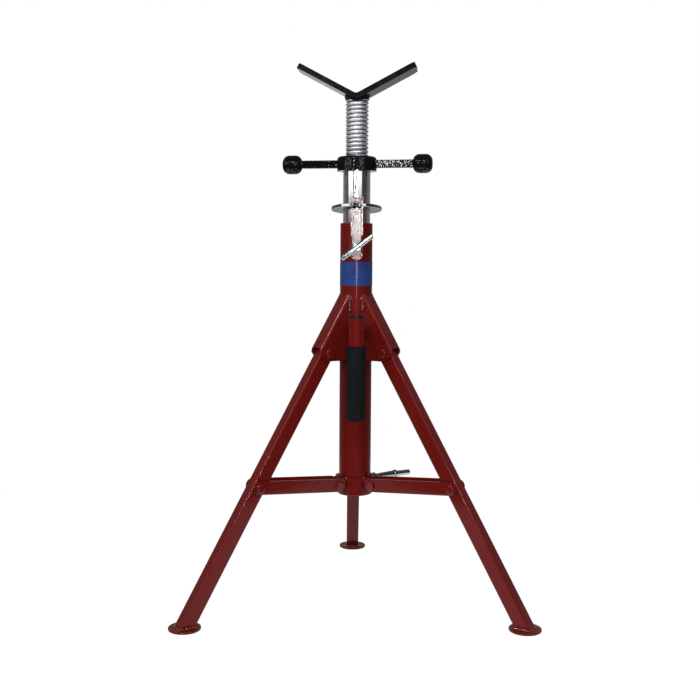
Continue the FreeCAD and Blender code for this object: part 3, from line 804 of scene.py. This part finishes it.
def layCollarWelds(material, look=seams):
    ring = []
    for side, height in circlePoints(look["barrelRadius"], look["barrelHeight"], 20):
        reach = onTube(look["collarRadius"], side) + look["barrelLift"]
        ring.append(radial(look["barrelAzimuth"], reach, side, height))
    layBead("barrelSeam", ring, look["barrelBead"] * mm, "collar", material, loop=True)
    for i, (azimuth, height, size) in enumerate(look["collarBlobs"]):
        spot = radial(azimuth, look["collarRadius"] - look["collarSunk"], 0.0, height)
        layBlob(f"collarBlob{i}", spot, size * mm, "collar", material)


# the camera stands in front of the stand, a little below the handle nut
photoCamera = {
    "distance": 1.806,
    "height": 0.618,
    "sideways": -0.0101,
    "objectTurn": 0.425,  # degrees, how far the stand is turned from square
    "pitchDown": 5.204,
    "roll": 0.364,
    "focalPixels": 1014.0,
    "imagePixels": 700.0,
    "sensorWidth": 36.0,
}


def buildCamera(look=photoCamera):
    lens = bpy.data.cameras.new("photoCamera")
    lens.sensor_width = look["sensorWidth"]
    lens.lens = look["sensorWidth"] * look["focalPixels"] / look["imagePixels"]
    camera = bpy.data.objects.new("photoCamera", lens)
    turn = Matrix.Rotation(-math.radians(look["objectTurn"]), 4, "Z")
    pitch = math.radians(look["pitchDown"])
    roll = math.radians(look["roll"])
    ahead = Vector((0.0, math.cos(pitch), -math.sin(pitch)))
    upright = Vector((0.0, math.sin(pitch), math.cos(pitch)))
    sideways = Vector((1.0, 0.0, 0.0))
    right = sideways * math.cos(roll) + upright * math.sin(roll)
    up = upright * math.cos(roll) - sideways * math.sin(roll)
    place = Matrix((right, up, -ahead)).transposed().to_4x4()
    place.translation = Vector((look["sideways"], -look["distance"], look["height"]))
    camera.matrix_world = turn @ place
    bpy.context.scene.collection.objects.link(camera)
    bpy.context.scene.camera = camera


softBoxAim = (0.0, 0.0, 0.6)
# the two wide boxes make the tube's white bands, and the small ones make the highlights
softBoxes = {
    "flash": {"place": (0.11, -2.0, 0.755), "size": (0.20, 0.13), "watts": 4.5},
    "flashTail": {"place": (0.115, -2.0, 0.60), "size": (0.05, 0.24), "watts": 1.8},
    "browStrip": {"place": (-0.62, -1.55, 1.78), "size": (0.24, 0.32), "watts": 12.0},
    "armLight": {"place": (-0.594, -1.90, 0.964), "size": (0.07, 0.06), "watts": 1.9},
    "leftBox": {"place": (-1.72, -1.30, 1.52), "size": (1.80, 1.40), "watts": 14.5},
    "rightBox": {"place": (0.89, -1.79, 1.52), "size": (1.22, 1.40), "watts": 9.5},
}


def addSoftBox(name, look):
    lamp = bpy.data.lights.new(name, "AREA")
    lamp.shape = "RECTANGLE"
    lamp.size, lamp.size_y = look["size"]
    lamp.energy = look["watts"]
    box = bpy.data.objects.new(name, lamp)
    box.location = look["place"]
    aim = Vector(softBoxAim) - Vector(look["place"])
    box.rotation_euler = aim.to_track_quat("-Z", "Y").to_euler()
    bpy.context.scene.collection.objects.link(box)


# true for the kinds of rays that are named
def raySwitch(tree, names):
    rays = addNode(tree, "ShaderNodeLightPath")
    shown = rays.outputs[names[0]]
    for name in names[1:]:
        shown = combine(tree, "MAXIMUM", shown, rays.outputs[name])
    return shown


paleRoom = {
    "keyFrom": (-0.18, -0.64, 0.74),  # where most of the room's soft light comes from
    "roomLight": (0.10, 0.92),  # soft light from behind that side, and from it
    "roomEdge": (-0.3, 1.0),
    # what gloss sees, from the camera's side at 0 round to the white backdrop at 1
    "gloss": [(0.40, 0.05), (0.70, 0.15), (0.93, 0.22), (0.990, 0.34), (0.999, 1.0)],
}


# white to the camera; gloss sees the white backdrop behind and a dark studio elsewhere
def buildWorld(look=paleRoom):
    world = bpy.data.worlds.new("paleRoom")
    world.use_nodes = True
    bpy.context.scene.world = world
    tree = world.node_tree
    tree.nodes.clear()
    output = addNode(tree, "ShaderNodeOutputWorld")
    white = {"Color": (1, 1, 1, 1)}
    room = addNode(tree, "ShaderNodeBackground", white)
    seen = addNode(tree, "ShaderNodeBackground", dict(white, Strength=1.0))
    glossy = addNode(tree, "ShaderNodeBackground", {"Strength": 1.0})
    direction = addNode(tree, "ShaderNodeTexCoord").outputs["Generated"]
    ramp = addNode(tree, "ShaderNodeValToRGB")
    stops = ramp.color_ramp.elements
    while len(stops) < len(look["gloss"]):
        stops.new(0.5)
    for stop, (share, level) in zip(stops, look["gloss"]):
        stop.position = share
        stop.color = (level, level, level, 1.0)
    tree.links.new(spread(tree, splitAxes(tree, direction)["Y"], 0.0, 1.0, -1.0, 1.0), ramp.inputs[0])
    tree.links.new(ramp.outputs["Color"], glossy.inputs["Color"])
    towards = addNode(tree, "ShaderNodeVectorMath", operation="DOT_PRODUCT")
    tree.links.new(direction, towards.inputs[0])
    towards.inputs[1].default_value = Vector(look["keyFrom"]).normalized()
    light = spread(tree, towards.outputs["Value"], *look["roomLight"], *look["roomEdge"])
    tree.links.new(light, room.inputs["Strength"])
    reflected = addNode(tree, "ShaderNodeMixShader")
    mirrored = raySwitch(tree, ["Is Glossy Ray", "Is Transmission Ray"])
    tree.links.new(mirrored, reflected.inputs[0])
    tree.links.new(room.outputs[0], reflected.inputs[1])
    tree.links.new(glossy.outputs[0], reflected.inputs[2])
    mix = addNode(tree, "ShaderNodeMixShader")
    tree.links.new(raySwitch(tree, ["Is Camera Ray"]), mix.inputs[0])
    tree.links.new(reflected.outputs[0], mix.inputs[1])
    tree.links.new(seen.outputs[0], mix.inputs[2])
    tree.links.new(mix.outputs[0], output.inputs["Surface"])


studioFloor = {
    "halfWidth": 0.9,
    "front": -0.6,
    "back": 1.1,
    "colour": (0.12, 0.12, 0.12),
    "ownLight": 0.94,
}


# a pale sheet under the feet that keeps their shadow
def buildFloor(look=studioFloor):
    wide = look["halfWidth"]
    front, back = look["front"], look["back"]
    corners = [(-wide, front, 0.0), (wide, front, 0.0), (wide, back, 0.0), (-wide, back, 0.0)]
    mesh = bpy.data.meshes.new("studioFloor")
    mesh.from_pydata(corners, [], [(0, 1, 2, 3)])
    floor = bpy.data.objects.new("studioFloor", mesh)
    bpy.context.scene.collection.objects.link(floor)
    material = bpy.data.materials.new("paleFloor")
    material.use_nodes = True
    tree = material.node_tree
    tree.nodes.clear()
    output = addNode(tree, "ShaderNodeOutputMaterial")
    matte = addNode(tree, "ShaderNodeBsdfDiffuse", {"Color": rgba(look["colour"])})
    glow = addNode(tree, "ShaderNodeEmission", {"Color": (1, 1, 1, 1), "Strength": look["ownLight"]})
    both = addNode(tree, "ShaderNodeAddShader")
    mix = addNode(tree, "ShaderNodeMixShader")
    tree.links.new(matte.outputs[0], both.inputs[0])
    tree.links.new(glow.outputs[0], both.inputs[1])
    seen = raySwitch(tree, ["Is Camera Ray", "Is Glossy Ray", "Is Transmission Ray"])
    tree.links.new(seen, mix.inputs[0])
    tree.links.new(matte.outputs[0], mix.inputs[1])
    tree.links.new(both.outputs[0], mix.inputs[2])
    tree.links.new(mix.outputs[0], output.inputs["Surface"])
    mesh.materials.append(material)


buildCamera()
buildWorld()
for boxName, softBox in softBoxes.items():
    addSoftBox(boxName, softBox)
buildFloor()
print("camera, lamps and floor are up")

redPaint = makeRedEnamel("redEnamel")
weldPaint = makeRedEnamel("weldEnamel", weldEnamel)
headBlack = makeBlackEnamel("headBlack", headEnamel)
capBlack = makeCapPlastic("capBlack")

legSheet = ["leg_bracket", "leg_tube", "foot_disc", "strut", "collar_lug"]
legBolts = ["leg_bolt", "strut_stud_a", "strut_stud_b", "collar_bolt"]
paintedNodes = [f"{piece}_{legName}" for piece in legSheet for legName in legAzimuths]
paintedNodes += ["column_tube", "column_stop_ring", "carry_tube", "carry_stub", "collar_ring"]
boltNodes = [f"{piece}_{legName}" for piece in legBolts for legName in legAzimuths]
dressNodes(paintedNodes, redPaint)
dressNodes(boltNodes, makeRedEnamel("thickEnamel", thickEnamel))
dressNodes(["ring_bracket"], makeRedEnamel("channelEnamel", channelEnamel))
dressNodes(["inner_tube"], makeZincPlate("tubeZinc", tubeZinc, tubeSeam))
dressNodes(["friction_ring", "locking_pin", "pin_handle", "lock_plunger", "plunger_barrel"],
           makeZincPlate("partZinc", partZinc))
dressNodes(["v_head"], headBlack)
dressNodes(["handle_nut"], makeBlackEnamel("castBlack", castEnamel))
dressNodes(["carry_grip"], makeFoamGrip("gripFoam"))
dressNodes(["carry_cap"], capBlack)
dressNodes(["name_band"], makeBandFilm("bandBlue"))
print("solids are dressed")

makeScrewThread(makeThreadZinc("threadZinc"))
makeHeadWeld(headBlack)
makePlungerBoreShade(capBlack)
print("screw, head weld and plunger mouth are made")

for legName, azimuth in legAzimuths.items():
    layBracketWelds(legName, azimuth, weldPaint)
    layLegWelds(legName, azimuth, weldPaint)
layColumnWelds(weldPaint)
layCollarWelds(weldPaint)
print("weld beads are laid")

bpy.context.scene.view_settings.view_transform = "Standard"
